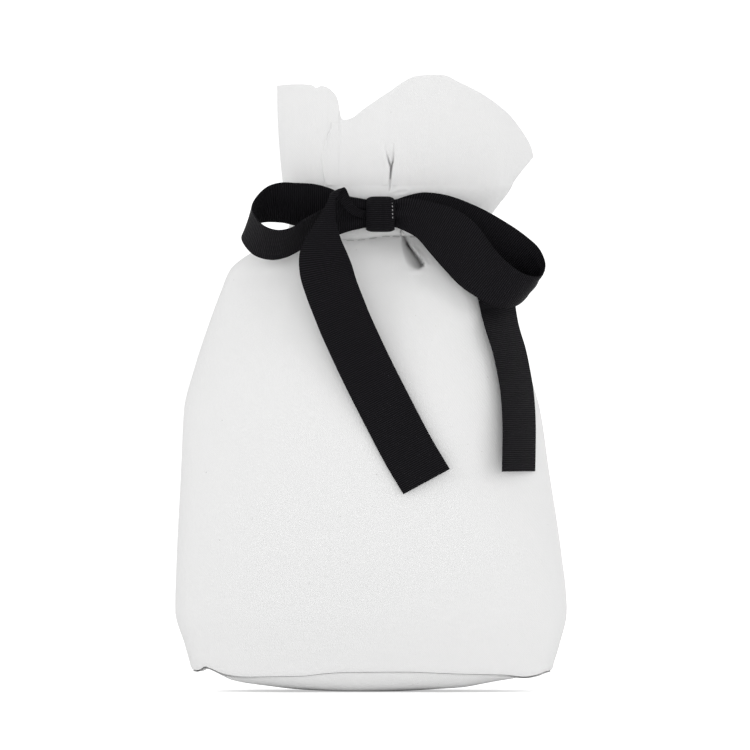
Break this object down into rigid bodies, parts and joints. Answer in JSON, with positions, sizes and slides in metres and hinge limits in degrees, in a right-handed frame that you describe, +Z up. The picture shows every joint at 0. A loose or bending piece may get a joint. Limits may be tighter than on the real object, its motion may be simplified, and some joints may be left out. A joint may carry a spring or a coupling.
{
  "type": "drawstring gift bag",
  "caption": "Upright cotton gift bag with a boxed base and a gathered neck, drawn shut by a grosgrain ribbon that runs in a stitched channel and is tied in a front bow.",
  "frame": {"origin": "on the flat underside of the base, at the middle of the bag's depth", "axes": "+Z up, -Y is the front with the bow, +X is the viewer's right"},
  "size_m": [0.1641, 0.0773, 0.2588],
  "materials": {
    "cotton_cloth": "matt white cotton twill",
    "cotton_inside": "matt white cotton, inside face and seam allowances",
    "black_ribbon": "black ribbed grosgrain with a soft sheen"
  },
  "bodies": {
    "bag": {"front_panel": "cotton_cloth", "back_panel": "cotton_cloth", "base_panel": "cotton_cloth", "base_seam": "cotton_inside", "left_side_seam": "cotton_inside", "right_side_seam": "cotton_inside", "front_channel": "cotton_cloth", "back_channel": "cotton_cloth", "front_channel_lining": "cotton_inside", "back_channel_lining": "cotton_inside", "ribbon_neck_run": "black_ribbon"},
    "collar_front": {"front_collar": "cotton_cloth"},
    "collar_back": {"back_collar": "cotton_cloth"},
    "bow": {"bow_knot_wrap": "black_ribbon", "bow_knot_core": "black_ribbon", "ribbon_lead_left": "black_ribbon", "ribbon_lead_right": "black_ribbon", "tail_root_left": "black_ribbon", "tail_root_right": "black_ribbon"},
    "loop_left": {"bow_loop_left": "black_ribbon"},
    "loop_right": {"bow_loop_right": "black_ribbon"},
    "tail_left": {"ribbon_tail_left": "black_ribbon"},
    "tail_right": {"ribbon_tail_right": "black_ribbon"}
  },
  "joints": [
    {"name": "collar_front_fold", "type": "hinge", "parent": "bag", "child": "collar_front", "pos_m": [0, -0.0145, 0.2121], "axis": [1, 0, 0], "range_deg": [0, 20]},
    {"name": "collar_back_fold", "type": "hinge", "parent": "bag", "child": "collar_back", "pos_m": [0, 0.0145, 0.2121], "axis": [-1, 0, 0], "range_deg": [0, 20]},
    {"name": "bow_pull", "type": "slide", "parent": "bag", "child": "bow", "axis": [0, -1, 0], "range_m": [0, 0.01]},
    {"name": "loop_left_lift", "type": "hinge", "parent": "bow", "child": "loop_left", "pos_m": [-0.003, -0.0224, 0.2062], "axis": [0, 1, 0], "range_deg": [0, 12]},
    {"name": "loop_right_lift", "type": "hinge", "parent": "bow", "child": "loop_right", "pos_m": [0.0106, -0.0231, 0.2062], "axis": [0, -1, 0], "range_deg": [0, 45]},
    {"name": "tail_left_swing", "type": "hinge", "parent": "bow", "child": "tail_left", "pos_m": [-0.0158, -0.0352, 0.2097], "axis": [-1, 0, 0], "range_deg": [0, 80]},
    {"name": "tail_right_swing", "type": "hinge", "parent": "bow", "child": "tail_right", "pos_m": [0.0522, -0.0165, 0.1624], "axis": [-0.6801, -0.7331, 0], "range_deg": [0, 60]}
  ]
}
